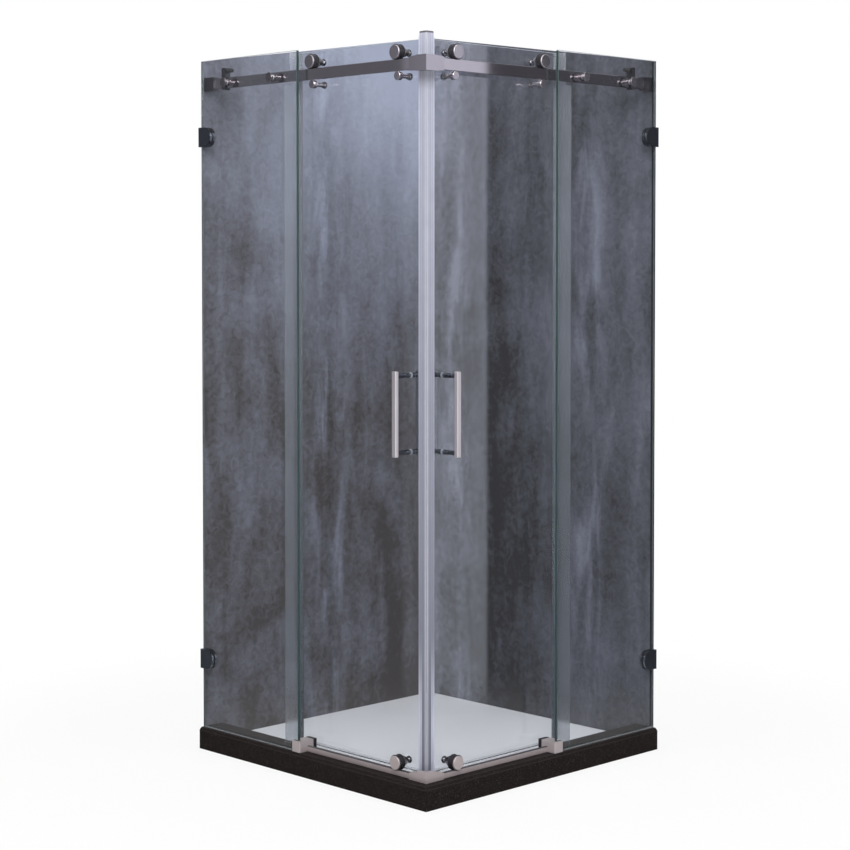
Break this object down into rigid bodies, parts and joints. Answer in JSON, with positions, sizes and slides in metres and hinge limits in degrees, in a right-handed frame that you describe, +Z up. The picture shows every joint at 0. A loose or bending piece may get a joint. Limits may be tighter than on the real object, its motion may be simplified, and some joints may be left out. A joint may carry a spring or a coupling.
{
  "type": "shower screen",
  "caption": "Square corner shower screen: fixed glass panels and frameless doors that slide on wheels along bar rails and meet at the corner, on a dark stone kerb round a white floor.",
  "frame": {"origin": "centre of the square footprint, on the ground under the kerb and floor", "axes": "+Z up; the doors meet at the -X -Y corner, and the walls stand at +X and +Y"},
  "size_m": [0.912, 0.912, 1.95],
  "materials": {
    "stone": "honed dark granite",
    "white_floor": "satin white",
    "rail_steel": "satin with a warm tint",
    "handle_steel": "satin with a warm tint",
    "dark_steel": "satin",
    "glass": "clear toughened",
    "clear_seal": "translucent",
    "black_wheel": "moulded",
    "black_rubber": "soft",
    "magnet": "bonded magnet strip"
  },
  "bodies": {
    "frame": {"kerb_left": "stone", "kerb_right": "stone", "shower_floor": "white_floor", "top_rail_left": "rail_steel", "top_rail_right": "rail_steel", "top_rail_corner": "rail_steel", "bottom_rail_left": "rail_steel", "bottom_rail_right": "rail_steel", "bottom_rail_corner": "rail_steel", "rail_wall_sockets": "dark_steel", "rail_stops": "dark_steel", "stop_bumpers": "black_rubber", "grub_screws": "dark_steel", "fixed_glass_left": "glass", "fixed_glass_right": "glass", "fixed_sill_strips": "clear_seal", "wall_clamp_bodies": "dark_steel", "wall_clamp_inner_jaws": "dark_steel", "wall_clamp_gaskets": "black_rubber", "wall_clamp_bolts": "dark_steel", "rail_standoff_caps": "rail_steel", "rail_standoff_spacers": "rail_steel", "rail_standoff_washers": "clear_seal", "foot_clips": "rail_steel", "foot_clip_gaskets": "black_rubber", "door_guide_pads": "black_wheel"},
    "left_door": {"door_glass_left": "glass", "magnetic_seal_left": "clear_seal", "magnet_strip_left": "magnet", "trailing_seal_left": "clear_seal", "door_sweep_left": "clear_seal", "handle_outer_left": "handle_steel", "handle_inner_left": "handle_steel", "handle_washers_left": "clear_seal", "axle_bolts_left": "rail_steel", "wheel_cones_left": "rail_steel", "anti_lift_discs_left": "rail_steel", "glass_bushes_left": "clear_seal", "cap_nuts_left": "rail_steel"},
    "left_top_front_wheel": {"wheel_top_front_left": "black_wheel"},
    "left_top_rear_wheel": {"wheel_top_rear_left": "black_wheel"},
    "left_low_front_wheel": {"wheel_low_front_left": "black_wheel"},
    "right_door": {"door_glass_right": "glass", "magnetic_seal_right": "clear_seal", "magnet_strip_right": "magnet", "trailing_seal_right": "clear_seal", "door_sweep_right": "clear_seal", "handle_outer_right": "handle_steel", "handle_inner_right": "handle_steel", "handle_washers_right": "clear_seal", "axle_bolts_right": "rail_steel", "wheel_cones_right": "rail_steel", "anti_lift_discs_right": "rail_steel", "glass_bushes_right": "clear_seal", "cap_nuts_right": "rail_steel"},
    "right_top_front_wheel": {"wheel_top_front_right": "black_wheel"},
    "right_top_rear_wheel": {"wheel_top_rear_right": "black_wheel"},
    "right_low_front_wheel": {"wheel_low_front_right": "black_wheel"}
  },
  "joints": [
    {"name": "left_door_slide", "type": "slide", "parent": "frame", "child": "left_door", "axis": [0, 1, 0], "range_m": [0, 0.3075]},
    {"name": "left_top_front_wheel_spin", "type": "hinge", "parent": "left_door", "child": "left_top_front_wheel", "pos_m": [-0.4179, -0.314, 1.899], "axis": [-1, 0, 0], "continuous": true},
    {"name": "left_top_rear_wheel_spin", "type": "hinge", "parent": "left_door", "child": "left_top_rear_wheel", "pos_m": [-0.4179, 0.012, 1.899], "axis": [-1, 0, 0], "continuous": true},
    {"name": "left_low_front_wheel_spin", "type": "hinge", "parent": "left_door", "child": "left_low_front_wheel", "pos_m": [-0.4179, -0.314, 0.0933], "axis": [-1, 0, 0], "continuous": true},
    {"name": "right_door_slide", "type": "slide", "parent": "frame", "child": "right_door", "axis": [1, 0, 0], "range_m": [0, 0.3075]},
    {"name": "right_top_front_wheel_spin", "type": "hinge", "parent": "right_door", "child": "right_top_front_wheel", "pos_m": [-0.314, -0.4179, 1.899], "axis": [0, 1, 0], "continuous": true},
    {"name": "right_top_rear_wheel_spin", "type": "hinge", "parent": "right_door", "child": "right_top_rear_wheel", "pos_m": [0.012, -0.4179, 1.899], "axis": [0, 1, 0], "continuous": true},
    {"name": "right_low_front_wheel_spin", "type": "hinge", "parent": "right_door", "child": "right_low_front_wheel", "pos_m": [-0.314, -0.4179, 0.0933], "axis": [0, 1, 0], "continuous": true}
  ],
  "couplings": [
    {"joint": "left_top_front_wheel_spin", "follows": "left_door_slide", "rad_per_m": 55.556},
    {"joint": "left_top_rear_wheel_spin", "follows": "left_door_slide", "rad_per_m": 55.556},
    {"joint": "left_low_front_wheel_spin", "follows": "left_door_slide", "rad_per_m": 55.556},
    {"joint": "right_top_front_wheel_spin", "follows": "right_door_slide", "rad_per_m": 55.556},
    {"joint": "right_top_rear_wheel_spin", "follows": "right_door_slide", "rad_per_m": 55.556},
    {"joint": "right_low_front_wheel_spin", "follows": "right_door_slide", "rad_per_m": 55.556}
  ]
}
